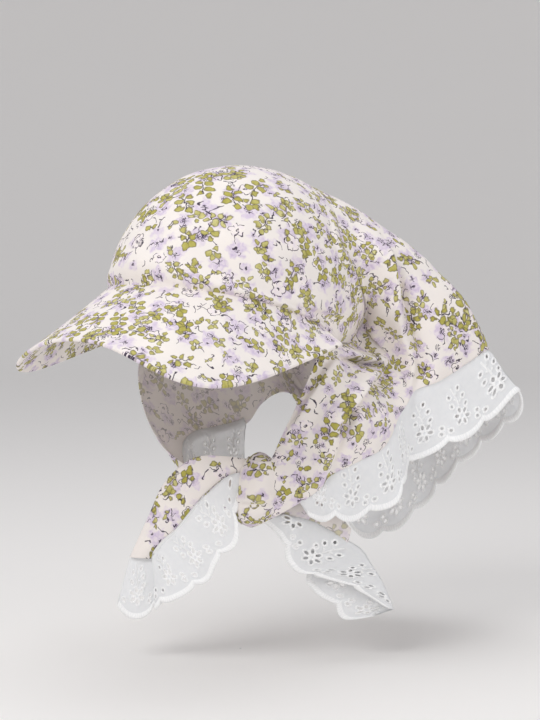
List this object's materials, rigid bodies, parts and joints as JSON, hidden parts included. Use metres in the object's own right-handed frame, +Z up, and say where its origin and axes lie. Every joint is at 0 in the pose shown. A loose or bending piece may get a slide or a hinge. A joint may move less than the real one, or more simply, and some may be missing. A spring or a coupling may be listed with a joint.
{
  "type": "bandana cap",
  "caption": "Soft cotton cap with an arched peak in front and a kerchief back with eyelet trim, knotted at the throat.",
  "frame": {"origin": "middle of the head inside the cap, at its widest level, named by the mount head_seat", "axes": "+Z up; the wearer faces -Y, so the peak points along -Y; +X is the wearer's left, where the back of the kerchief is drawn out"},
  "size_m": [0.2535, 0.3509, 0.336],
  "materials": {
    "printed_cotton": "matte woven cotton with a small floral print in lilac, olive green and dark ink",
    "eyelet_cotton": "matte white cotton with cut and embroidered eyelets and a scalloped edge"
  },
  "bodies": {
    "root": {"crown": "printed_cotton", "peak": "printed_cotton", "kerchief": "printed_cotton", "knot": "printed_cotton", "tie_end_left": "printed_cotton", "tie_end_right": "printed_cotton", "trim_left": "eyelet_cotton", "trim_back": "eyelet_cotton", "trim_right": "eyelet_cotton", "tie_trim_left": "eyelet_cotton", "tie_trim_right": "eyelet_cotton"}
  },
  "joints": []
}
